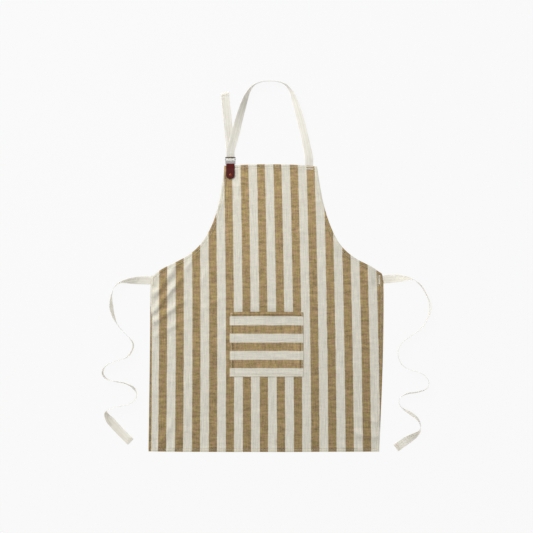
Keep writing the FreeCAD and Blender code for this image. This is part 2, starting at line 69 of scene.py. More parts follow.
# ---- mesh helpers
def add_mesh(name, verts, faces):
    mesh = bpy.data.meshes.new(name)
    mesh.from_pydata([tuple(v) for v in verts], [], [tuple(f) for f in faces])
    mesh.update()
    mesh.polygons.foreach_set("use_smooth", [True] * len(mesh.polygons))
    piece = bpy.data.objects.new(name, mesh)
    SCENE.collection.objects.link(piece)
    return piece


def add_attribute(piece, name, values):
    """A vector on each vertex, for the materials."""
    attribute = piece.data.attributes.new(name, "FLOAT_VECTOR", "POINT")
    attribute.data.foreach_set("vector", np.asarray(values, np.float32).ravel())


def smoothstep(a, b, x):
    t = np.clip((x - a) / (b - a), 0, 1)
    return t * t * (3 - 2 * t)


def bell(x, middle, width):
    return np.exp(-((x - middle) / width) ** 2)


def switch(x, at, blur):
    """From 0 to 1 over a short way."""
    return smoothstep(at - blur, at + blur, x)


def rounded(d, radius):
    """A quarter circle that rises from 0 at an edge to 1."""
    return np.sqrt(1 - (1 - np.clip(d / radius, 0, 1)) ** 2)


def normalised(v):
    return v / np.maximum(np.linalg.norm(v, axis=-1, keepdims=True), 1e-12)


def headings(line):
    return normalised(np.gradient(line, axis=0))


def running_length(line):
    return np.r_[0, np.cumsum(np.linalg.norm(np.diff(line, axis=0), axis=1))]


def interpolated(at, marks, rows):
    """np.interp for each column."""
    return np.stack([np.interp(at, marks, column) for column in rows.T], axis=-1)


def resampled(line, step):
    """The same line with evenly spaced points."""
    s = running_length(line)
    return interpolated(np.linspace(0, s[-1], max(2, round(s[-1] / step) + 1)), s, line)


# ---- tapes
WEBBING_W, WEBBING_T = 25 * MM, 1.2 * MM
TIE_W, TIE_T = 25 * MM, 1.1 * MM
TAIL_SLANT = -4 * MM
ROUTE_STEPS = 14
LAID = 0.05  # height in millimetres of a tape that lies on the surface
LOOP_Z = 1.5  # and of the loop where it lies on its tail

# Routes in millimetres: x, y, roll in degrees (0 flat, 90 on edge, right side up) and, if it
# isn't LAID, the height of the lowest edge
NECK_LOOP = [
    (128.5, 286, 0, 0), (128.5, 295.5, 0, 0),  # under the top hem
    (128.5, 304.6, 0), (128, 325, 12), (121.8, 354, 25), (114, 391, 32), (104.6, 430, 34),
    (94.6, 466, 44), (83.2, 500, 57), (71, 528.5, 77), (53, 544, 92), (27, 550.4, 96),
    (-3, 550, 96), (-28.5, 544.5, 93), (-47, 528, 80), (-60, 502, 57), (-70, 472, 39),
    (-80.5, 437, 27, 0.6), (-89.5, 401, 12, LOOP_Z), (-98.4, 367, 3, LOOP_Z),
    (-106, 344, 0, LOOP_Z), (-106, 329, 0, LOOP_Z),
]
# The turn round the cross bar, as y and z of the webbing's middle in millimetres
STRAP_TURN = [(322.2, 2.1), (318, 4.6), (313.5, 4.6), (313.5, 0.65), (317.5, 0.65)]
NECK_TAIL = [
    (-106, 329, 0), (-106, 345, 0), (-108, 372, 0), (-112, 406, 0), (-115, 444, 0), (-119, 481, 0),
    (-122.3, 518.5, 0),
]
LEFT_TIE = [
    (-327.5, -42, 0), (-350, -42.6, 0), (-375, -42, 17), (-405, -43.5, 50), (-436, -47, 84),
    (-453, -64, 96), (-460.5, -90, 88), (-460.5, -120, 68), (-454, -148, 77), (-442, -174, 95),
    (-425, -194, 96), (-408, -210, 96), (-392, -230, 87), (-398, -254, 84), (-415, -274, 87),
    (-446, -281, 88), (-476, -293, 88), (-489, -316, 85), (-475, -337, 89), (-446, -343, 100),
    (-415, -347.5, 103), (-389, -363, 113), (-381, -386, 99), (-402, -411, 87), (-440, -417, 85),
    (-478.5, -427.5, 89), (-473.5, -447, 58), (-456, -468.5, 6), (-429.5, -497.5, 0),
    (-402.5, -523.5, 0),
]
RIGHT_TIE = [
    (334.5, -40, 0), (357, -39.2, 0), (382, -36.5, 12), (410, -35.8, 50), (437, -38, 84),
    (459, -54, 94), (475, -80, 91), (487, -106, 94), (488.5, -134, 94), (476, -166, 88),
    (455, -192, 84), (430, -208, 84), (404, -226, 83), (389, -255, 84), (398, -290, 87),
    (424, -308, 92), (458, -314, 91), (485, -336, 86), (482, -365, 77), (448, -375, 76),
    (414, -378, 77), (391, -397, 83), (402, -422, 88), (430, -437, 70), (454, -455, 75),
    (462, -482, 82), (446, -502, 42), (417, -520, 3), (386.5, -542, 0),
]


def laid_points(route, width, thick, turned_over=False):
    """Spline points and width directions for a tape that lies on the surface."""
    plan = np.array([p[:2] for p in route]) * MM
    heading = headings(plan)
    roll = np.radians([p[2] for p in route])
    right = np.c_[heading[:, 1], -heading[:, 0], np.zeros(len(plan))]
    if turned_over:
        right = -right
    across = right * np.cos(roll)[:, None]
    across[:, 2] = np.sin(roll)
    height = np.array([p[3] if len(p) > 3 else LAID for p in route]) * MM
    height += width / 2 * np.abs(np.sin(roll)) + thick / 2 * np.abs(np.cos(roll))
    return np.c_[plan, height], across


def spline_line(points):
    """Points along the NURBS spline whose control points these are."""
    curve = bpy.data.curves.new("route", "CURVE")
    curve.dimensions = "3D"
    curve.resolution_u = ROUTE_STEPS
    spline = curve.splines.new("NURBS")
    spline.points.add(len(points) - 1)
    for point, co in zip(spline.points, points):
        point.co = (*co, 1)
    spline.order_u = 3
    spline.use_endpoint_u = True
    holder = bpy.data.objects.new("route", curve)
    SCENE.collection.objects.link(holder)
    graph = bpy.context.evaluated_depsgraph_get()
    mesh = bpy.data.meshes.new_from_object(holder.evaluated_get(graph), depsgraph=graph)
    line = np.array([v.co for v in mesh.vertices])
    bpy.data.objects.remove(holder)
    bpy.data.meshes.remove(mesh)
    return line


# Half of a tape's cross-section, from one edge to the other over the top, as shares of the
# half width and half thickness. The edges are rounded selvedges, a little thinner.
SELVEDGE = [(-1.0, 0.0), (-0.992, 0.55), (-0.97, 0.82), (-0.93, 0.78), (-0.88, 0.96),
            (-0.6, 1.0), (-0.3, 1.0)]
TOP_SECTION = SELVEDGE + [(0.0, 1.0)] + [(-a, b) for a, b in SELVEDGE[::-1]]
SECTION = np.array(TOP_SECTION + [(a, -b) for a, b in TOP_SECTION[-2:0:-1]])
WOBBLES = [(0.006, 260, 0.0), (0.004, 611, 1.3)]  # of the width: share, per metre, phase
FOLD = 10 * MM  # turned end of a tape
FOLD_RISE, FOLD_EDGE = 0.8 * MM, 0.4 * MM
END_ROUND, END_LEAST = 1 * MM, 0.1414


def tube_faces(rings, per):
    """Rings of points joined in turn, with a cap at each end."""
    last = (rings - 1) * per
    faces = [(i + per + j, i + per + (j + 1) % per, i + (j + 1) % per, i + j)
             for i in range(0, last, per) for j in range(per)]
    return faces + [tuple(range(per)), tuple(range(last, last + per))[::-1]]


def tape(name, points, across, width, thick, fold_side=1, slant=0.0):
    """A woven tape along a spline. Its end is folded over once, towards fold_side, and cut
    at a slant that is this much longer on one edge than on the other."""
    line = spline_line(points)
    last = len(points) - 2
    marks = np.r_[0, np.arange(last) + 0.5, last]  # where the control points act
    wide = interpolated(np.linspace(0, last, len(line)), marks, across)
    ahead = headings(line)
    wide = normalised(wide - ahead * (wide * ahead).sum(1, keepdims=True))
    out = np.cross(wide, ahead)
    lowest = width / 2 * np.abs(wide[:, 2]) + thick / 2 * np.abs(out[:, 2])
    line[:, 2] = np.maximum(line[:, 2], lowest)
    s = running_length(line)
    folded = switch(s, s[-1] - FOLD, FOLD_EDGE)
    rounded_end = np.maximum(rounded(s[-1] - s, END_ROUND), END_LEAST)
    a, b = SECTION.T
    wobble = 1 + sum(share * np.sin(s * per_metre + phase) for share, per_metre, phase in WOBBLES)
    offset = b * thick / 2 * rounded_end[:, None]
    grown = np.clip(b * fold_side, 0, 1) * fold_side
    offset = offset + grown * (FOLD_RISE * folded * rounded_end)[:, None]
    spread = a * (width / 2 * wobble)[:, None]
    skew = a * slant / 2 * smoothstep(s[-1] - 2 * FOLD, s[-1], s)[:, None]
    verts = line[:, None] + sum(way[:, None] * size[..., None] for way, size in
                                ((wide, spread), (out, offset), (ahead, skew)))
    rings, per = len(line), len(SECTION)
    piece = add_mesh(name, verts.reshape(-1, 3), tube_faces(rings, per))
    add_attribute(piece, "tape", np.c_[np.repeat(s, per), np.tile(a * width / 2, rings),
                                       np.repeat(folded, per)])
    return piece, line


def make_neck_strap():
    """From behind the top hem, over the arch, round the cross bar and back as the tail."""
    start, start_wide = laid_points(NECK_LOOP, WEBBING_W, WEBBING_T)
    tail, tail_wide = laid_points(NECK_TAIL, WEBBING_W, WEBBING_T, turned_over=True)
    buckle_x = NECK_LOOP[-1][0] * MM
    turn = np.array([(buckle_x, y * MM, z * MM) for y, z in STRAP_TURN])
    turn_wide = np.tile((-1.0, 0.0, 0.0), (len(turn), 1))
    points = np.vstack([start, turn, tail])
    across = np.vstack([start_wide, turn_wide, tail_wide])
    piece, line = tape("neck_strap_webbing", points, across, WEBBING_W, WEBBING_T,
                       fold_side=-1, slant=TAIL_SLANT)
    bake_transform(piece)
    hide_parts("neck_strap", "neck_strap_sewn_end")
    return piece, line


def make_tie(node, route):
    points, across = laid_points(route, TIE_W, TIE_T)
    piece, line = tape(node + "_tape", points, across, TIE_W, TIE_T)
    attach(piece, "apron")
    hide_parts(node)
    return piece, line


neck_strap, neck_line = make_neck_strap()
left_tie, left_line = make_tie("left_waist_tie", LEFT_TIE)
right_tie, right_line = make_tie("right_waist_tie", RIGHT_TIE)


# ---- the body's outline
SIDE_NAMES = ["top", "left_armhole", "left_side", "bottom", "right_side", "right_armhole"]
OUTLINE_STEP = 2.5 * MM
SHARP = math.radians(10)  # a turn that makes a corner
SAME = 0.001 * MM  # points nearer than this are one point
INSET_SLACK = 0.12 * MM
CHUNK = 4000


def cad_outline():
    """The panel's outline from its CAD face, anticlockwise, cut into sides at the corners."""
    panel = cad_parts["apron_panel"]
    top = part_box("apron_panel")[1][2]
    verts = np.array([panel.matrix_world @ v.co for v in panel.data.vertices])
    edges = {}
    for face in panel.data.polygons:
        if min(verts[i][2] for i in face.vertices) > top - 10 * SAME:
            keys = [tuple(np.round(verts[i][:2] / SAME).astype(int)) for i in face.vertices]
            edges.update(dict.fromkeys(zip(keys, keys[1:] + keys[:1])))
    follow = {a: b for a, b in edges if (b, a) not in edges}
    loops = []
    while follow:
        here, after = follow.popitem()
        loop = [here]
        while after in follow:
            loop.append(after)
            after = follow.pop(after)
        loops.append(loop)
    loop = np.array(max(loops, key=len)) * SAME
    x, y = loop.T
    if (x * np.roll(y, -1) - y * np.roll(x, -1)).sum() < 0:
        loop = loop[::-1]
    into = normalised(loop - np.roll(loop, 1, axis=0))
    away = normalised(np.roll(loop, -1, axis=0) - loop)
    turn = np.arccos(np.clip((into * away).sum(1), -1, 1))
    corners = np.where(turn > SHARP)[0]
    # The sides start at the bib's top right corner.
    first = max(corners, key=lambda i: loop[i][0] * 0.3 + loop[i][1])
    loop = np.roll(loop, -first, axis=0)
    corners = sorted((c - first) % len(loop) for c in corners) + [len(loop)]
    closed = np.vstack([loop, loop[:1]])
    sides = [resampled(closed[a:b + 1], OUTLINE_STEP) for a, b in zip(corners, corners[1:])]
    if len(sides) != len(SIDE_NAMES):
        raise ValueError(f"the outline has {len(sides)} sides")
    return dict(zip(SIDE_NAMES, sides))


# The cloth fills the right armhole's corner a little more than its CAD solid does.
FULL_CORNER = np.array([340.0, -25.0]) * MM
FULL_WAY = np.array([0.88, 0.47])
FULL_BY, FULL_REACH = 4.6 * MM, 6.5 * MM


def filled_out(line):
    near = np.exp(-((line - FULL_CORNER) ** 2).sum(1) / (2 * FULL_REACH ** 2))
    return line + near[:, None] * FULL_BY * FULL_WAY


SIDES = {name: filled_out(side) for name, side in cad_outline().items()}
OUTLINE = np.vstack([side[:-1] for side in SIDES.values()])


def distance_to_outline(points):
    out = np.empty(len(points))
    for i in range(0, len(points), CHUNK):
        part = points[i:i + CHUNK]
        out[i:i + CHUNK] = np.sqrt(((part[:, None] - OUTLINE[None]) ** 2).sum(-1)).min(1)
    return out


def inside_outline(points):
    x, y = points.T
    odd = np.zeros(len(points), bool)
    for (x0, y0), (x1, y1) in zip(OUTLINE, np.roll(OUTLINE, -1, axis=0)):
        crosses = (y0 > y) != (y1 > y)
        odd ^= crosses & (x < x0 + (y - y0) * (x1 - x0) / (y1 - y0 + 1e-15))
    return odd


def inset_line(side, inset):
    """A side drawn again inside the outline, without the parts too near its neighbours."""
    line = SIDES[side]
    ahead = headings(line)
    moved = line + np.c_[-ahead[:, 1], ahead[:, 0]] * inset
    return moved[distance_to_outline(moved) > inset - INSET_SLACK]


def inset_corners(inset):
    """Where the inset lines of two neighbouring sides cross."""
    sides = list(SIDES.values())
    out = []
    for before, after in zip(sides[-1:] + sides[:-1], sides):
        t0 = normalised(before[-1] - before[-2])
        t1 = normalised(after[1] - after[0])
        lean = np.array([-(t0[1] + t1[1]), t0[0] + t1[0]])
        out.append(after[0] + lean * inset / (1 + t0 @ t1))
    return np.array(out)


# ---- how the cloth lies
CLOTH = 0.75 * MM
FRONT_Z = 2.0 * MM  # height of the face over the hem
HEM_W, SEAM_INSET, EDGE_R = 10 * MM, 8.5 * MM, 1.0 * MM
BODY_LOW, BODY_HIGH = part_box("apron_panel")


def outside(x, y, box):
    """Distance from a box in millimetres. A box is its middle and half size."""
    cx, cy, half_x, half_y = box
    return np.hypot(np.maximum(np.abs(x / MM - cx) - half_x, 0),
                    np.maximum(np.abs(y / MM - cy) - half_y, 0))


def crease(x, y, line):
    """A soft ridge along a line, fading out at both ends."""
    x0, y0, x1, y1, width, height = np.array(line) * MM
    length = math.hypot(x1 - x0, y1 - y0)
    ux, uy = (x1 - x0) / length, (y1 - y0) / length
    t = ((x - x0) * ux + (y - y0) * uy) / length
    off = (x - x0) * -uy + (y - y0) * ux
    fade = smoothstep(-0.05, 0.14, t) * (1 - smoothstep(0.6, 1.05, t))
    return height * fade * bell(off, 0, width)


# Start, end, half width and height in millimetres. The cloth is drawn up towards the left
# tie and lies slack above the bottom corners.
CREASES = [
    (-338, -92, -258, 12, 10.5, 7.8), (-343, -146, -232, -10, 8.6, 7.6),
    (-342, -172, -226, -90, 9, 6.6), (-340, -214, -226, -150, 9, 3.6),
    (-334, -40, -296, 6, 5.5, 3.2), (-250, -20, -190, 52, 8, 3.0), (-206, -60, -150, 18, 11, 2.0),
    (-188, -128, -120, -84, 9, 1.8), (338, -70, 282, 2, 9, 2.0), (336, -150, 262, -96, 11, 1.8),
    (205, 60, 150, -20, 12, 1.4), (-150, 120, -105, 20, 12, 1.3), (150, 200, 95, 60, 12, 1.3),
    (-150, 175, -96, 215, 9, 1.5), (338, -466, 262, -438, 10, 4.4), (336, -514, 238, -490, 10, 4.8),
    (300, -546, 212, -532, 9, 3.4), (-322, -548, -268, -440, 9, 3.4),
    (-282, -546, -240, -478, 10, 2.2), (-60, -545, -35, -420, 16, 1.6),
    (-96, 262, -70, 214, 7, 1.8), (-128, 250, -104, 232, 6, 1.5), (-326, -37, -284, -15, 3.4, 1.9),
    (-280, -6, -244, 14, 3.4, 1.2),
]


def plane_waves(count, shortest, longest, tilt):
    """Wave vectors and phases of small wrinkles that run mostly across the cloth."""
    length = rng.uniform(shortest, longest, count) * MM
    angle = rng.normal(math.pi / 2, tilt, count)
    vector = np.c_[np.cos(angle), np.sin(angle)] * (2 * math.pi / length)[:, None]
    return vector, rng.uniform(0, 2 * math.pi, count), length / (longest * MM)


WRINKLES = plane_waves(26, 15, 46, 0.34)
RIPPLES = plane_waves(18, 60, 190, 1.0)


def waves(x, y, bundle):
    vector, phase, share = bundle
    total = sum(a * np.sin(kx * x + ky * y + p) for (kx, ky), p, a in zip(vector, phase, share))
    return total / math.sqrt(len(phase) / 2)


def patches(x, y):
    """Where the small wrinkles are, from 0 to 1."""
    across = np.sin(x * 23 + 2.1 * np.sin(y * 13))
    return 0.5 + 0.5 * across * np.sin(y * 17 + 1.7 * np.sin(x * 11 + 0.6))


WAVE_Z, WAVE_MIDDLE, RIPPLE = 0.8 * MM, 1.9, 0.55
WRINKLE_Z, LEAST_RISE = 0.42 * MM, 0.2 * MM
# Boxes where the cloth is held flat, under the buckle and at the tapes' sewn ends, and how
# far from there it is free, in millimetres
HELD = [(-106, 282, 22, 28), (128.5, 296, 20, 16), (-342, -42, 14, 18), (342, -40, 14, 18)]
FREE_AT = 18


def rise(x, y):
    """How far the body stands off the surface, in waves, wrinkles and creases. The waves
    are stronger towards the bottom hem."""
    down = (BODY_HIGH[1] - y) / (BODY_HIGH[1] - BODY_LOW[1])
    wave = 0.8 * np.sin(x * 21 + 1.1 + 1.4 * np.sin(y * 5.1)) * (0.3 + 0.7 * down)
    wave = wave + 0.55 * np.sin(x * 37 - y * 6 + 2.2) * down
    wave = wave + RIPPLE * waves(x, y, RIPPLES)
    out = (wave + WAVE_MIDDLE) * WAVE_Z
    out = out + WRINKLE_Z * waves(x, y, WRINKLES) * (0.35 + 0.65 * patches(x, y))
    out = out + sum(crease(x, y, line) for line in CREASES)
    out = np.maximum(out, LEAST_RISE)
    for box in HELD:
        out = out * smoothstep(0, FREE_AT, outside(x, y, box))
    return out


# Boxes in millimetres: where a tape's end lies under the cloth, where the hem's back is left
# out for it, and dense stitching
TAPE_ENDS = [(128.5, 297, 12.8, 11.3), (-338, -42, 9.5, 12.8), (342, -40, 9, 12.8)]
BACK_GAPS = [(128.5, 300, 13.6, 18), (-344, -42, 18, 13.6), (344, -40, 18, 13.6)]
BARTACKS = [(130.3, 296.4, 10.8, 1.0), (130.3, 289.3, 10.8, 1.0),
            (-337.5, -42, 1.6, 14), (337.2, -40.5, 1.6, 14)]
TAPE_PAD, PAD_FADE = 0.75 * MM, 2.2
HEM_PUFF, HEM_LUMP = 0.5 * MM, 0.22 * MM
GROOVE, GROOVE_W = 0.6 * MM, 1.1 * MM  # along the seam
RIDGE, RIDGE_AT, RIDGE_W = 0.45 * MM, 12 * MM, 2.2 * MM  # beside the hem
HEM_STEP, STEP_END = 0.5 * MM, 12.5 * MM
MOAT, MOAT_AT, MOAT_W, TACK_SINK = 0.8 * MM, 1.7, 1.2, 0.3 * MM  # round a bartack


def front(x, y, d):
    """Height of the body's face where the outline is d away."""
    z = FRONT_Z / 2 * (1 + rounded(d, EDGE_R))
    z = z + HEM_PUFF * np.sin(math.pi * np.clip(d / SEAM_INSET, 0, 1))
    z = z - GROOVE * bell(d, SEAM_INSET, GROOVE_W) + RIDGE * bell(d, RIDGE_AT, RIDGE_W)
    hem = smoothstep(0, 2 * MM, d) * (1 - smoothstep(6 * MM, SEAM_INSET, d))
    z = z + hem * HEM_LUMP * (np.sin(x * 900 + y * 410) + np.sin(y * 870 - x * 350))
    z = z - HEM_STEP * smoothstep(HEM_W, STEP_END, d)
    over = 1 - np.min([smoothstep(0, PAD_FADE, outside(x, y, box)) for box in TAPE_ENDS], axis=0)
    z = z + TAPE_PAD * over
    for box in BARTACKS:
        away = outside(x, y, box)
        z = z - MOAT * bell(away, MOAT_AT, MOAT_W) - TACK_SINK * (away == 0)
    least = (FRONT_Z - 0.04 * MM) * smoothstep(0.3, 1, over) * smoothstep(0, 1.5 * MM, d)
    return np.maximum(z, least) + rise(x, y)


def back(x, y, d):
    """Height of the body's back: the turned hem, then the single cloth."""
    hem = FRONT_Z / 2 * (1 - rounded(d, EDGE_R))
    beyond = smoothstep(HEM_W, HEM_W + 0.6 * MM, d)
    for box in BACK_GAPS:
        beyond = np.where(outside(x, y, box) == 0, 1.0, beyond)
    z = hem + (front(x, y, d) - rise(x, y) - CLOTH - hem) * beyond
    return np.maximum(z, 0) + rise(x, y)


# ---- body
STRIPE, STRIPE_KHAKI, STRIPE_FROM = 50.86 * MM, 24.6 * MM, -322.7 * MM
BAND = np.array([0.25, 0.55, 1.0, 2.2, 4.2, 6.2, 7.5, 8.5, 9.4, 10.05, 10.6, 12.2]) * MM
GRID, GRID_ROW, GRID_GAP = 4.2 * MM, 3.654 * MM, 2.52 * MM
EDGE_REACH = 20 * MM  # how far in from its edge the cloth's material knows the distance


def two_sided(name, faces, top, low, rim, place, depth):
    """Cloth with a face and a back of the same polygons, joined at the rim."""
    lower = np.where(rim, np.arange(len(rim)), len(rim) + np.cumsum(~rim) - 1)
    faces = np.vstack([faces, lower[faces][:, ::-1]])
    piece = add_mesh(name, np.vstack([top, low[~rim]]), faces.tolist())
    cloth = np.c_[place, np.minimum(depth, EDGE_REACH) / EDGE_REACH]
    add_attribute(piece, "cloth", np.vstack([cloth, cloth[~rim]]))
    return piece


def stripe_place(x, y):
    """Where across the uncut cloth a point lies. The stripes splay a little downwards, bow a
    little towards the sides and are drawn in at the left side's hem."""
    up = (y - BODY_LOW[1]) / (BODY_HIGH[1] - BODY_LOW[1])
    shift = 1.85 * MM * up - 11.2 * MM * up ** 2
    bowed = x - 2.4 * MM * (x / (350 * MM)) ** 2 + 0.9 * MM
    turned = smoothstep(-335 * MM, -343 * MM, x) * smoothstep(-110 * MM, -170 * MM, y)
    bowed = bowed - 6 * MM * turned
    return (bowed - shift) / (1 - 0.032 * up - 0.003 * up ** 2)


def make_body():
    """Face and back of one triangulation: rings that follow the hem, then an even grid."""
    rows = [OUTLINE]
    depths = [np.zeros(len(OUTLINE))]
    for d in BAND:
        ring = np.vstack([inset_line(side, d) for side in SIDE_NAMES] + [inset_corners(d)])
        rows.append(ring)
        depths.append(np.full(len(ring), d))
    gx, gy = np.meshgrid(np.arange(BODY_LOW[0], BODY_HIGH[0], GRID),
                         np.arange(BODY_LOW[1], BODY_HIGH[1], GRID_ROW))
    gx[1::2] += GRID / 2
    inner = np.c_[gx.ravel(), gy.ravel()]
    inner = inner[inside_outline(inner)]
    far = distance_to_outline(inner)
    keep = far > BAND[-1] + GRID_GAP
    rows.append(inner[keep])
    depths.append(far[keep])
    plan, depth = np.vstack(rows), np.concatenate(depths)
    found = delaunay_2d_cdt([tuple(p) for p in plan], [], [list(range(len(OUTLINE)))], 1, 1e-7)
    faces = np.array(found[2])
    origin = np.array([o[0] if o else -1 for o in found[3]])
    if (origin < 0).any():
        raise ValueError("the triangulation added points")
    plan, depth = plan[origin], depth[origin]
    x, y = plan.T
    a, b, c = (plan[faces[:, k]] for k in range(3))
    area = (b - a)[:, 0] * (c - a)[:, 1] - (b - a)[:, 1] * (c - a)[:, 0]
    faces = np.where(area[:, None] > 0, faces, faces[:, ::-1])
    top, low = np.c_[plan, front(x, y, depth)], np.c_[plan, back(x, y, depth)]
    piece = two_sided("apron_body_cloth", faces, top, low, depth == 0,
                      np.c_[stripe_place(x, y), y], depth)
    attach(piece, "apron")
    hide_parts("apron_panel")
    return piece


body = make_body()


# ---- pocket
POCKET_LOW, POCKET_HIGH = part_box("pocket")
POCKET_FOLD, POCKET_SEAM = 14 * MM, 3.6 * MM
MOUTH_HEM, MOUTH_SEAM, MOUTH_BOW = 13 * MM, 12 * MM, 2.6 * MM
DOUBLED, FOLD_BLUR = 0.95 * MM, 0.5 * MM
SEAM_SINK, SEAM_SINK_W = 0.42 * MM, 0.7 * MM
MOUTH_SINK, MOUTH_SINK_W = 0.25 * MM, 0.8 * MM
POCKET_GAPE, POCKET_EASE = 4.2 * MM, 0.5 * MM
POCKET_EDGE_R = 0.7 * MM
POCKET_STRIPE, POCKET_STRIPE_FROM = 51.2 * MM, -303.4 * MM
POCKET_GRID = 3.5 * MM
POCKET_BAND = np.array([0, 0.12, 0.35, 0.7, 1.6, 2.6, 3.6, 4.6, 7, 10.5, 11.5, 12.5, 13.5,
                        14.5, 16]) * MM


def grid_lines(low, high):
    count = max(2, int((high - low) / POCKET_GRID))
    inner = np.linspace(low + POCKET_BAND[-1], high - POCKET_BAND[-1], count)
    return np.unique(np.r_[low + POCKET_BAND, inner, high - POCKET_BAND].round(6))


def pocket_parts(x, y):
    """The pocket's thickness, gape over the body and distance from its edge."""
    w, h = POCKET_HIGH[0] - POCKET_LOW[0], POCKET_HIGH[1] - POCKET_LOW[1]
    side = np.minimum(x - POCKET_LOW[0], POCKET_HIGH[0] - x)
    foot = y - POCKET_LOW[1]
    mouth = POCKET_HIGH[1] - y
    sewn = np.minimum(side, foot)
    single = np.minimum(switch(sewn, POCKET_FOLD, FOLD_BLUR), switch(mouth, MOUTH_HEM, FOLD_BLUR))
    thick = CLOTH + DOUBLED * (1 - single)
    thick = thick - SEAM_SINK * bell(sewn, POCKET_SEAM, SEAM_SINK_W)
    thick = thick - MOUTH_SINK * bell(mouth, MOUTH_SEAM, MOUTH_SINK_W)
    share = np.clip(side / (w / 2), 0, 1)
    gape = POCKET_GAPE * smoothstep(0.04, 1.0, share) * np.clip(foot / h, 0, 1) ** 2.4
    gape = gape + POCKET_EASE * smoothstep(0, 0.3, share) * smoothstep(0, 0.2, foot / h)
    return thick, gape, np.minimum(sewn, mouth)


def pocket_base(x, y):
    """Just above the body's face, away from its hem."""
    return front(x, y, np.full_like(x, 0.05)) + 0.08 * MM


def pocket_front(x, y):
    thick, gape, _ = pocket_parts(x, y)
    return pocket_base(x, y) + gape + thick


def make_pocket():
    xs, ys = (grid_lines(POCKET_LOW[k], POCKET_HIGH[k]) for k in (0, 1))
    gx, gy = np.meshgrid(xs, ys)
    x, y = gx.ravel(), gy.ravel()
    thick, gape, near = pocket_parts(x, y)
    half = thick / 2 * rounded(near, POCKET_EDGE_R)
    middle = pocket_base(x, y) + gape + thick / 2
    share = (x - POCKET_LOW[0]) / (POCKET_HIGH[0] - POCKET_LOW[0])
    up = (y - POCKET_LOW[1]) / (POCKET_HIGH[1] - POCKET_LOW[1])
    y_out = y + MOUTH_BOW * np.sqrt(np.sin(math.pi * np.clip(share, 0, 1))) * up ** 6
    index = np.arange(len(x)).reshape(len(ys), len(xs))
    rim = np.zeros(index.shape, bool)
    rim[[0, -1]] = rim[:, [0, -1]] = True
    quads = np.stack([index[:-1, :-1], index[:-1, 1:], index[1:, 1:], index[1:, :-1]], axis=-1)
    across = STRIPE_FROM + (y - POCKET_STRIPE_FROM) * STRIPE / POCKET_STRIPE
    piece = two_sided("pocket_cloth", quads.reshape(-1, 4), np.c_[x, y_out, middle + half],
                      np.c_[x, y_out, middle - half], rim.ravel(), np.c_[across, x], near)
    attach(piece, "apron")
    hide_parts("pocket")
    return piece


pocket = make_pocket()


# ---- stitching
STITCH_PITCH = 3.1 * MM
STITCH_HALF = (1.22 * MM, 0.42 * MM, 0.3 * MM)  # half length, width and height
RINGS, AROUND = 5, 6
SEWN_AT = (-0.45, 0, 0.45)  # a stitch's ends and middle, as shares of the pitch
JITTER, ASKEW = 0.04, 0.4 * MM
ROW_PITCH, BOX_PITCH = 2.4 * MM, 2.6 * MM
BARTACK_PITCH, BARTACK_LEAN = 0.62, 0.2
ON_CLOTH, ON_BARTACK = 0.05 * MM, 0.42 * MM
END_ROW_FROM_FOLD, END_ROW_MARGIN = 1.6 * MM, 1.5 * MM


def stitch_template():
    """One lozenge of thread, along x."""
    verts, faces = [(-1, 0, 0)], []
    for i in range(1, RINGS):
        t = -math.cos(math.pi * i / RINGS)
        r = (1 - t ** 4) ** 0.5
        for j in range(AROUND):
            a = 2 * math.pi * j / AROUND
            verts.append((t, r * math.cos(a), r * math.sin(a)))
    verts.append((1, 0, 0))
    last = len(verts) - 1
    for j in range(AROUND):
        k = (j + 1) % AROUND
        faces.append((0, 1 + k, 1 + j))
        faces.append((last, last - AROUND + j, last - AROUND + k))
        for i in range(RINGS - 2):
            a = 1 + i * AROUND
            faces.append((a + j, a + k, a + AROUND + k, a + AROUND + j))
    return np.array(verts, float), faces


STITCH_VERTS, STITCH_FACES = stitch_template()


def stitches(name, lines, rides="apron", pitch=STITCH_PITCH, satin=()):
    """Separate stitches along lines of points on a surface, for the seam of this name. The
    lines of satin hold one long stitch each."""
    verts, faces = [], []
    for number, line in enumerate([*lines, *satin]):
        s = running_length(line)
        long = number >= len(lines)
        count = 1 if long else max(1, round(s[-1] / pitch))
        centres = (np.arange(count) + 0.5) * s[-1] / count
        jitter = rng.normal(0, JITTER, (count, 3))
        for i, c in enumerate(centres):
            ends = interpolated(c + np.array(SEWN_AT) * pitch, s, line)
            ahead = normalised(ends[2] - ends[0] + jitter[i] * ASKEW)
            side = normalised(np.cross((0, 0, 1), ahead))
            up = np.cross(ahead, side)
            half = np.array((s[-1] / 2, *STITCH_HALF[1:]) if long else STITCH_HALF)
            points = STITCH_VERTS * half * (1 + jitter[i])
            base = len(verts) * len(STITCH_VERTS)
            verts.append(ends[1] + points @ np.array([ahead, side, up]))
            faces += [tuple(v + base for v in f) for f in STITCH_FACES]
    piece = add_mesh(name + "_stitches", np.vstack(verts), faces)
    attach(piece, rides)
    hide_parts(name + "_seam")
    return piece


def on_front(plan, lift=2 * ON_CLOTH):
    high = front(plan[:, 0], plan[:, 1], distance_to_outline(plan))
    return np.c_[plan, high + lift]


def on_back(plan):
    low = back(plan[:, 0], plan[:, 1], distance_to_outline(plan))
    return np.c_[plan, np.maximum(low + ON_CLOTH, STITCH_HALF[2])]


def on_pocket(plan):
    return np.c_[plan, pocket_front(plan[:, 0], plan[:, 1]) + ON_CLOTH]


def path(*points, step=1.5 * MM):
    return resampled(np.array(points, float) * MM, step)


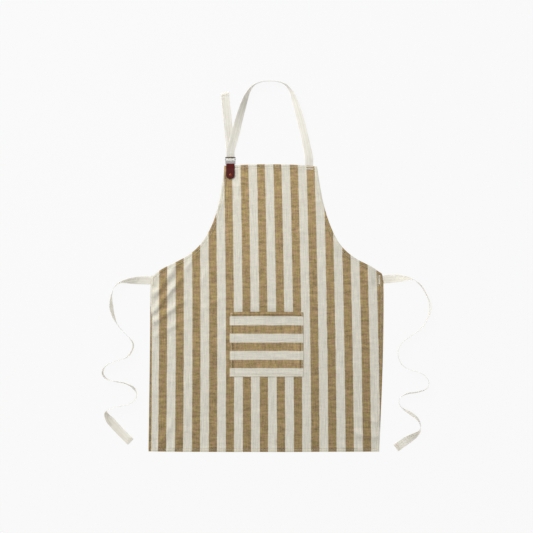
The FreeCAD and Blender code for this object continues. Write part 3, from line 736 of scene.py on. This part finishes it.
def bartack(cx, cy, half_x, half_y):
    """Short stitches side by side across a bar, each a little askew."""
    upright = half_y > half_x
    short, long = sorted((half_x, half_y))
    count = int(long * 2 / BARTACK_PITCH)
    out = []
    for i in range(count):
        t = long * ((i + 0.5) / count * 2 - 1)
        lean = BARTACK_LEAN * (-1) ** i
        ends = [(t - lean, -short), (t + lean, short)]
        ends = [(cx + b, cy + a) if upright else (cx + a, cy + b) for a, b in ends]
        out.append(on_front(path(*ends, step=1.0 * MM), ON_BARTACK))
    return out


def make_stitching():
    pieces = []
    for side in SIDE_NAMES:
        line = inset_line(side, SEAM_INSET)
        if side == "top":  # stops at the leather tab
            line = line[line[:, 0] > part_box("leather_tab")[1][0] + 1 * MM]
        if side == "left_armhole":
            line = line[line[:, 1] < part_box("leather_tab")[0][1] - 1 * MM]
        pieces.append(stitches(side, [on_front(line), on_back(line)]))
    x0, y0 = np.array(POCKET_LOW[:2]) / MM
    x1, y1 = np.array(POCKET_HIGH[:2]) / MM
    x0, y0, x1 = (v + way * POCKET_SEAM / MM for v, way in ((x0, 1), (y0, 1), (x1, -1)))
    corners = [(x0, y1 - 1), (x0, y0), (x1, y0), (x1, y1 - 1)]
    seam = [path(a, b) for a, b in zip(corners, corners[1:])]
    tacks = [path((x, y1 - 2), (x + way * 5, y1 - 2), step=MM) for x, way in ((x0, 1), (x1, -1))]
    rows = [on_pocket(p) for p in seam + tacks] + [on_back(p) for p in seam]
    pieces.append(stitches("pocket", rows))
    mouth_y = y1 - MOUTH_SEAM / MM
    mouth = on_pocket(path((x0, mouth_y), (x1, mouth_y), step=2 * MM))
    pieces.append(stitches("pocket_mouth", [mouth]))
    rows = [on_front(path((119, 292.8), (141, 292.6)), ON_CLOTH)]
    pieces.append(stitches("neck_strap", rows, pitch=ROW_PITCH,
                           satin=bartack(*BARTACKS[0]) + bartack(*BARTACKS[1])))
    for name, side, tack in (("left_tie", -1, BARTACKS[2]), ("right_tie", 1, BARTACKS[3])):
        low, high = tack[1] - 17, tack[1] + 13
        x_in, x_out = side * 332.5, side * 341
        box = [(x_in, low), (x_out, low), (x_out, high), (x_in, high), (x_in, low)]
        rows = [on_front(path(a, b), ON_CLOTH) for a, b in zip(box, box[1:])]
        pieces.append(stitches(name, rows, pitch=BOX_PITCH, satin=bartack(*tack)))
    return pieces


def end_stitches(name, line, width, thick, rides):
    """A row across a tape's folded end."""
    s = running_length(line)
    middle = interpolated(s[-1] - FOLD + END_ROW_FROM_FOLD, s, line)
    ahead = normalised(line[-1] - line[-4])
    side = np.array([-ahead[1], ahead[0], 0])
    half = width / 2 - END_ROW_MARGIN
    row = np.array([middle - side * half, middle + side * half])
    row[:, 2] = LAID * MM + FOLD_RISE + thick + ON_CLOTH
    return stitches(name, [resampled(row, MM)], rides, pitch=ROW_PITCH)


stitching = make_stitching()
for name, piece, line, length, width, thick, rides in (
        ("left_tie_end", left_tie, left_line, 0.82, TIE_W, TIE_T, "apron"),
        ("right_tie_end", right_tie, right_line, 0.84, TIE_W, TIE_T, "apron"),
        ("strap_tail", neck_strap, neck_line, 0.81, WEBBING_W, WEBBING_T, "neck_loop")):
    row = end_stitches(name, line, width, thick, rides)
    stitching.append(row)
[p for p in stitching if p.name.split("_stitches")[0] in SIDE_NAMES]


# ---- leather tab
LEATHER_T = 1.26 * MM
TAB_LOW, TAB_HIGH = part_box("leather_tab")
TAB_X = (TAB_LOW[0] + TAB_HIGH[0]) / 2
TAB_HALF = (TAB_HIGH[0] - TAB_LOW[0]) / 2
TAB_CORNER, CORNER_LEAST = 10 * MM, 0.4 * MM
TAB_STEP, TAB_EDGE_R = 0.5 * MM, 0.5 * MM
HINGE_Y, HINGE_Z = 304 * MM, 4.5 * MM
FOLD_MIDDLE = 1.87 * MM  # radius of the leather's middle round the buckle's bar
# The strip's middle before and after its turn, as y and z
TAB_BACK = [(TAB_LOW[1], 2.66 * MM), (HINGE_Y - 10 * MM, 2.66 * MM),
            (HINGE_Y, HINGE_Z - FOLD_MIDDLE)]
TAB_FRONT = [(HINGE_Y, HINGE_Z + FOLD_MIDDLE), (HINGE_Y - 5.5 * MM, 5.3 * MM),
             (HINGE_Y - 12 * MM, 4.0 * MM), (TAB_LOW[1], 3.95 * MM)]
RIVET_Y = 272 * MM
PRESS, PRESS_AT, PRESS_W = 0.22 * MM, 4.2 * MM, 1.5 * MM  # a dent round the rivet
CREASED, CREASED_AT, CREASED_W = 0.12 * MM, 1.8 * MM, 0.5 * MM  # a line along the edge
BURNISHED = 1.2 * MM


def make_leather_tab():
    """A strip folded round the buckle's bar, with rounded, burnished edges."""
    turn = np.linspace(-math.pi / 2, math.pi / 2, 19)
    around = np.c_[HINGE_Y + FOLD_MIDDLE * np.cos(turn), HINGE_Z + FOLD_MIDDLE * np.sin(turn)]
    line = np.vstack([resampled(np.array(TAB_BACK), TAB_STEP)[:-1], around,
                      resampled(np.array(TAB_FRONT), TAB_STEP)[1:]])
    for _ in range(6):
        line[1:-1] = (line[:-2] + 2 * line[1:-1] + line[2:]) / 4
    ahead = headings(line)
    corner = TAB_CORNER * rounded(line[:, 0] - TAB_LOW[1], TAB_CORNER)
    half = (TAB_HALF - TAB_CORNER + np.maximum(corner, CORNER_LEAST))[:, None]
    # The section: share of the half width, inset of the rounded edge and share of thickness
    edge = [(-1.0, TAB_EDGE_R * (1 - math.cos(t)), math.sin(t))
            for t in np.linspace(0, math.pi / 2, 5)]
    top = edge + [(a, 0.0, 1.0) for a in np.linspace(-0.8, 0.8, 9)]
    top += [(-a, b, c) for a, b, c in edge[::-1]]
    share, inset, level = np.array(top + [(a, b, -c) for a, b, c in top[-2:0:-1]]).T
    across = share * half - np.sign(share) * inset
    y = np.repeat(line[:, :1], len(share), axis=1)
    from_edge = half - np.abs(across)
    sink = PRESS * bell(np.hypot(across, y - RIVET_Y), PRESS_AT, PRESS_W)
    sink = sink + CREASED * bell(from_edge, CREASED_AT, CREASED_W)
    off = LEATHER_T / 2 * level - np.where(level > 0.5, sink, 0)
    y_out, z_out = ahead[:, 1:] * off, -ahead[:, :1] * off
    verts = np.stack([TAB_X + across, y + y_out, line[:, 1:] + z_out], axis=-1)
    piece = add_mesh("leather_tab_strip", verts.reshape(-1, 3),
                     tube_faces(len(line), len(share)))
    worn = np.clip(1 - from_edge / BURNISHED, 0, 1)
    add_attribute(piece, "hide", np.stack([across, y, worn], axis=-1))
    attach(piece, "apron")
    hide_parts("leather_tab")
    return piece


leather_tab = make_leather_tab()


# ---- materials
def linear(r, g, b):
    """Scene colour for a colour as seen on screen, 0 to 255."""
    return (*(((c / 255 + 0.055) / 1.055) ** 2.4 for c in (r, g, b)), 1.0)


def is_socket(value):
    return isinstance(value, bpy.types.NodeSocket)


class Nodes:
    """Short names for building a material's node tree."""

    def __init__(self, name, **settings):
        self.material = bpy.data.materials.new(name)
        self.material.use_nodes = True
        self.tree = self.material.node_tree
        self.tree.nodes.clear()
        self.shader = self.new("BsdfPrincipled")
        self.new("OutputMaterial", self.shader.outputs[0])
        for key, value in settings.items():
            self.shader.inputs[key.replace("_", " ")].default_value = value

    def new(self, kind, *values, **settings):
        """A node with these settings and first inputs."""
        node = self.tree.nodes.new("ShaderNode" + kind)
        for key, value in settings.items():
            setattr(node, key, value)
        for value, socket in zip(values, node.inputs):
            self.link(value, socket)
        return node

    def link(self, value, socket):
        if is_socket(value):
            self.tree.links.new(value, socket)
        else:
            socket.default_value = value

    def attribute(self, name):
        return self.new("Attribute", attribute_name=name).outputs["Vector"]

    def position(self):
        return self.new("TexCoord").outputs["Object"]

    def split(self, vector):
        return tuple(self.new("SeparateXYZ", vector).outputs)

    def math(self, operation, *values):
        return self.new("Math", *values, operation=operation).outputs[0]

    def mul(self, a, b):
        return self.math("MULTIPLY", a, b)

    def sub(self, a, b):
        return self.math("SUBTRACT", a, b)

    def total(self, first, *others):
        for value in others:
            first = self.math("ADD", first, value)
        return first

    def weighted(self, *pairs):
        """Sum of values times their weights."""
        return self.total(*(self.mul(value, weight) for value, weight in pairs))

    def swings(self, *pairs):
        """Sum of noises, each about 0 and this large."""
        return self.total(*(self.mul(self.sub(noise, 0.5), size) for noise, size in pairs))

    def sine(self, value, wavelength, wave="SINE"):
        return self.math(wave, self.mul(value, 2 * math.pi / wavelength))

    def span(self, value, low, high, to_low=0.0, to_high=1.0):
        values = value, low, high, to_low, to_high
        return self.new("MapRange", *values, interpolation_type="SMOOTHSTEP").outputs[0]

    def near(self, value, middle, full, gone):
        """1 where the value is near its middle, 0 where it is further than gone."""
        off = self.math("ABSOLUTE", self.sub(value, middle))
        return self.span(off, full, gone, 1.0, 0.0)

    def scaled(self, vector, by):
        return self.new("VectorMath", vector, by, operation="MULTIPLY").outputs[0]

    def noise(self, vector, scale=1.0, detail=3.0):
        node = self.new("TexNoise", vector)
        for key, value in (("Scale", scale), ("Detail", detail), ("Roughness", NOISE_ROUGH)):
            node.inputs[key].default_value = value
        return node.outputs[0]

    def grain(self, u, v, across, along, detail=3.0):
        """Noise with a different scale in each of two directions."""
        place = self.new("CombineXYZ", self.mul(u, across), self.mul(v, along))
        return self.noise(place.outputs[0], detail=detail)

    def mix(self, share, a, b, blend_type="MIX"):
        node = self.new("Mix", share, data_type="RGBA", blend_type=blend_type)
        self.link(a, node.inputs[6])
        self.link(b, node.inputs[7])
        return node.outputs[2]

    def times(self, colour, by):
        """A colour times a number from a node or a constant colour."""
        if is_socket(by):
            by = self.new("CombineXYZ", by, by, by).outputs[0]
        elif is_socket(colour):
            by = (*by, 1.0)
        else:
            return tuple(c * b for c, b in zip(colour, (*by, 1.0)))
        return self.mix(1.0, colour, by, "MULTIPLY")

    def finish(self, colour, rough, height, distance, strength):
        bump = self.new("Bump")
        for node, key, value in (
                (bump, "Height", height), (bump, "Distance", distance),
                (bump, "Strength", strength), (self.shader, "Base Color", colour),
                (self.shader, "Roughness", rough), (self.shader, "Normal", bump.outputs[0])):
            self.link(value, node.inputs[key])
        return self.material


NOISE_ROUGH = 0.55
COTTON = dict(Sheen_Weight=0.12, Sheen_Roughness=0.5, Specular_IOR_Level=0.15)
# Khaki painted lighter at the top of the apron and darker at the bottom: painted light, as if lit
# from the top
KHAKI_TOP, KHAKI_LOW = linear(166, 143, 102), linear(151, 130, 91)
CREAM = linear(216, 212, 199)
# Tints that the two yarns vary between, the dark tint of painted shade along the hem's very edge,
# and the tint of the unbleached bottom hem
KHAKI_HUES = (0.99, 1.025, 0.93), (1.02, 0.965, 1.07)
CREAM_HUES = (0.985, 1.0, 0.985), (1.01, 0.995, 0.99)
EDGE_SHADE_TINT, ECRU_TINT = (0.55, 0.5, 0.42), (1.0, 0.95, 0.8)
# How much slubs, neps, warp streaks and weft yarns lighten and darken each colour
KHAKI_MOTTLE, CREAM_MOTTLE = (1.35, 0.95, 1.3, 0.12), (0.2, 0.28, 0.8, 0.08)
STRIPE_BLUR = 0.012
YARN = 0.95 * MM


def striped_cotton():
    """Yarn-dyed plain weave with slubs along the weft."""
    n = Nodes("striped_cotton", **COTTON)
    u, v, edge = n.split(n.attribute("cloth"))
    fray = n.grain(u, v, 160.0, 1050.0, 1.0)
    drift = n.grain(u, v, 4.0, 26.0)
    moved = n.total(u, n.swings((fray, 1.5 * MM), (drift, 2.6 * MM)))
    start = STRIPE_FROM - 4 * STRIPE  # well to the left of the cloth
    phase = n.math("FRACT", n.math("DIVIDE", n.sub(moved, start), STRIPE))
    half = STRIPE_KHAKI / STRIPE / 2
    off = n.math("ABSOLUTE", n.sub(phase, half))
    off = n.math("MINIMUM", off, n.sub(1.0, off))
    khaki = n.span(off, half - STRIPE_BLUR, half + STRIPE_BLUR, 1.0, 0.0)

    slub = n.grain(u, v, 30.0, 120.0)  # bands across the stripes
    nep = n.grain(u, v, 190.0, 230.0)  # small specks
    streak = n.grain(u, v, 620.0, 16.0)  # single warp yarns
    weft = n.grain(u, v, 34.0, 820.0, 2.0)
    lean = n.span(n.grain(u, v, 75.0, 60.0, 2.0), 0.36, 0.64)

    def yarn(colour, hues, mottle):
        colour = n.mix(lean, *(n.times(colour, hue) for hue in hues))
        swings = n.swings(*zip((slub, nep, streak, weft), mottle))
        return n.times(colour, n.total(1.0, swings))

    # Painted light: the khaki goes from its darker bottom colour to its lighter top colour, as if
    # lit from the top
    khaki_lit_from_top = n.mix(n.span(v, -0.5, 0.3), KHAKI_LOW, KHAKI_TOP)
    colour = n.mix(khaki, yarn(CREAM, CREAM_HUES, CREAM_MOTTLE),
                   yarn(khaki_lit_from_top, KHAKI_HUES, KHAKI_MOTTLE))

    # Painted shade in the seam's groove and at the hem's step, above all in the khaki
    seam = n.near(edge, SEAM_INSET / EDGE_REACH, 0.03, 0.09)
    step = n.near(edge, RIDGE_AT / EDGE_REACH, 0.02, 0.08)
    painted_seam_shade = n.mul(n.weighted((seam, 0.46), (step, 0.24)), n.total(0.08, n.mul(khaki, 0.92)))
    colour = n.times(colour, n.sub(1.0, painted_seam_shade))
    # Painted shade along the khaki's very edge, where the hem rolls down
    rim = n.mul(n.span(edge, 0.02, 0.1, 1.0, 0.0), khaki)
    colour = n.mix(n.mul(rim, 0.5), colour, n.times(colour, EDGE_SHADE_TINT))
    ecru = n.mul(n.span(edge, 0.36, 0.5, 1.0, 0.0), n.span(v, -0.54, -0.52, 0.45, 0.15))
    colour = n.mix(ecru, colour, n.times(colour, ECRU_TINT))
    weave = n.mul(n.sine(u, YARN), n.sine(v, YARN))
    colour = n.times(colour, n.span(weave, -1.0, 1.0, 0.93, 1.05))
    height = n.weighted((weave, 0.3), (slub, 1.1), (nep, 0.9), (streak, 0.5))
    return n.finish(colour, n.span(nep, 0.3, 0.7, 0.95, 0.84), height, 0.5 * MM, 0.6)


SELVEDGE_FROM, SELVEDGE_TO = 11.0 * MM, 11.8 * MM
TAPE_YARN, TAPE_BAND = 0.9 * MM, 8.3 * MM
HERRINGBONE_HALF = 3.1 * MM


def webbing(name, light, dark, pitch, herringbone, soft, deep):
    """Woven cotton tape with a ribbed or herringbone face and firm selvedges."""
    n = Nodes(name, **COTTON, Subsurface_Weight=soft, Subsurface_Radius=(1.0, 1.0, 1.0),
              Subsurface_Scale=deep)
    s, w, folded = n.split(n.attribute("tape"))
    if herringbone:
        lean = n.math("PINGPONG", n.total(w, 30 * MM), HERRINGBONE_HALF)
    else:
        lean = n.mul(w, 0.12)
    inner = n.near(w, 0.0, SELVEDGE_FROM, SELVEDGE_TO)
    rib = n.mul(n.sine(n.total(s, lean), pitch), inner)
    yarn = n.sine(w, TAPE_YARN)
    band = n.mul(n.sine(w, TAPE_BAND, "COSINE"), inner)
    fibre = n.grain(s, w, 260.0, 1500.0, 4.0)
    line = n.grain(s, w, 7.0, 330.0, 2.0)
    cloud = n.grain(s, w, 28.0, 60.0, 2.0)
    shade = n.total(n.weighted((rib, 0.14), (yarn, 0.05), (band, 0.12)),
                    n.swings((fibre, 0.7), (cloud, 0.7), (line, 1.2)))
    colour = n.mix(n.span(shade, -0.6, 0.6), dark, light)
    # Painted highlight: the selvedges are painted 12% lighter than the middle, as where a tape
    # lying on edge catches the light
    colour = n.times(colour, n.total(n.mul(inner, -0.12), 1.12))
    colour = n.times(colour, n.span(folded, 0.0, 1.0, 1.0, 1.02))
    height = n.weighted((rib, 0.5), (yarn, 0.25), (fibre, 0.5))
    return n.finish(colour, n.span(fibre, 0.2, 0.8, 0.95, 0.8), height, 0.28 * MM, 0.5)


def thread():
    n = Nodes("thread", Sheen_Weight=0.2, Specular_IOR_Level=0.3)
    place = n.position()
    twist = n.noise(n.scaled(place, (2600.0, 2600.0, 5200.0)), detail=2.0)
    tone = n.noise(place, scale=45.0, detail=1.0)
    colour = n.mix(twist, linear(226, 219, 198), linear(250, 247, 238))
    colour = n.times(colour, n.span(tone, 0.3, 0.7, 0.93, 1.04))
    return n.finish(colour, n.span(twist, 0.3, 0.7, 0.6, 0.8), twist, 0.12 * MM, 0.6)


def leather():
    n = Nodes("leather", Specular_IOR_Level=0.24)
    place = n.position()
    _, _, edge = n.split(n.attribute("hide"))
    cells = n.new("TexVoronoi", place)
    cells.inputs["Scale"].default_value = 1500.0
    grain = cells.outputs["Distance"]
    wear = n.noise(place, scale=190.0, detail=5.0)
    fine = n.noise(place, scale=2600.0)
    redder = n.span(n.split(place)[1], 276 * MM, 306 * MM)
    colour = n.mix(redder, linear(71, 15, 11), linear(85, 19, 12))
    colour = n.times(colour, n.span(wear, 0.3, 0.7, 0.8, 1.2))
    colour = n.times(colour, n.span(grain, 0.0, 0.6, 0.86, 1.06))
    colour = n.times(colour, n.span(edge, 0.0, 1.0, 1.0, 0.72))
    height = n.weighted((grain, 0.8), (fine, 0.3), (wear, 0.6))
    return n.finish(colour, n.span(wear, 0.3, 0.7, 0.5, 0.66), height, 0.16 * MM, 0.5)


def metal(name, bright, dull, rough, painted_shade_past=None):
    """Metal with fine scratches and a little tarnish. Past the line given last it is painted dark:
    painted shade and a painted dark reflection on the buckle's top rail.
    """
    n = Nodes(name, Metallic=1.0)
    place = n.position()
    scratch = n.noise(n.scaled(place, (420.0, 5200.0, 5200.0)))
    tarnish = n.noise(place, scale=330.0, detail=4.0)
    colour = n.mix(n.span(tarnish, 0.35, 0.75), bright, dull)
    if painted_shade_past:
        # Painted shade: past this line the metal is painted dark brown, standing in for the shadow
        # and dark reflection on the buckle's top rail
        y = n.total(n.split(place)[1], n.mul(tarnish, 0.6 * MM))
        colour = n.mix(n.span(y, painted_shade_past, painted_shade_past + 0.6 * MM), colour, linear(92, 74, 66))
    rough = n.total(n.span(scratch, 0.3, 0.7, rough, rough + 0.14), n.mul(tarnish, 0.06))
    return n.finish(colour, rough, scratch, 0.03 * MM, 0.25)


MATERIALS = {
    "cloth": striped_cotton(),
    "webbing": webbing("cotton_webbing", linear(227, 224, 217), linear(204, 201, 190),
                       1.5 * MM, False, 0.6, 2.5 * MM),
    "ties": webbing("cotton_tape", linear(220, 216, 205), linear(197, 192, 177),
                    1.7 * MM, True, 0.85, 5 * MM),
    "thread": thread(),
    "leather": leather(),
    "nickel": metal("nickel_plate", linear(232, 232, 234), linear(196, 194, 194), 0.22,
                    painted_shade_past=322 * MM),
    "copper": metal("copper", linear(164, 86, 58), linear(108, 50, 32), 0.38),
}


for name, pieces in (("cloth", [body, pocket]), ("webbing", [neck_strap]),
                     ("ties", [left_tie, right_tie]), ("thread", stitching),
                     ("leather", [leather_tab])):
    for piece in pieces:
        piece.data.materials.clear()
        piece.data.materials.append(MATERIALS[name])
for node, name in (("rivet_cap", "copper"), ("rivet_post", "copper"),
                   ("buckle_frame", "nickel"), ("buckle_cross_bar", "nickel")):
    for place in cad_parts[node].material_slots:
        place.material = MATERIALS[name]


# ---- floor and light
FLOOR_HALF, FLOOR_Z = 30.0, -0.3 * MM
FLOOR_ALBEDO, FLOOR_GLOW = 0.02, 0.927
HORIZON, ZENITH = 1.0, 0.3  # the world's brightness
LAMP_PLACE, LAMP_SIZE, LAMP_POWER = (-1.9, 2.3, 2.6), 1.8, 125


def make_floor():
    """A pale floor that glows, as a backlit table does."""
    corners = [(FLOOR_HALF * a, FLOOR_HALF * b, FLOOR_Z)
               for a, b in ((-1, -1), (1, -1), (1, 1), (-1, 1))]
    floor = add_mesh("floor", corners, [(0, 1, 2, 3)])
    look = Nodes("floor", Base_Color=(*(FLOOR_ALBEDO,) * 3, 1), Roughness=0.95,
                 Specular_IOR_Level=0.0, Emission_Color=(1, 1, 1, 1),
                 Emission_Strength=FLOOR_GLOW)
    floor.data.materials.append(look.material)


def make_light():
    """A square lamp that looks at the middle of the apron."""
    data = bpy.data.lights.new("key", "AREA")
    data.shape, data.size, data.energy = "SQUARE", LAMP_SIZE, LAMP_POWER
    light = bpy.data.objects.new("key", data)
    light.location = LAMP_PLACE
    light.rotation_euler = (-light.location).to_track_quat("-Z", "Y").to_euler()
    SCENE.collection.objects.link(light)


def make_world():
    """Soft light, brighter at the horizon than overhead."""
    SCENE.world = bpy.data.worlds.new("studio")
    SCENE.world.use_nodes = True
    tree = SCENE.world.node_tree
    place, split, span = (tree.nodes.new("ShaderNode" + kind)
                          for kind in ("TexCoord", "SeparateXYZ", "MapRange"))
    background = tree.nodes["Background"]
    tree.links.new(place.outputs["Generated"], split.inputs[0])
    tree.links.new(split.outputs[2], span.inputs["Value"])
    tree.links.new(span.outputs[0], background.inputs[1])
    span.inputs["To Min"].default_value = HORIZON
    span.inputs["To Max"].default_value = ZENITH
    background.inputs[0].default_value = (1, 1, 1, 1)


make_floor()
make_world()
make_light()
SCENE.view_settings.view_transform = "Standard"
SCENE.view_settings.look = "None"
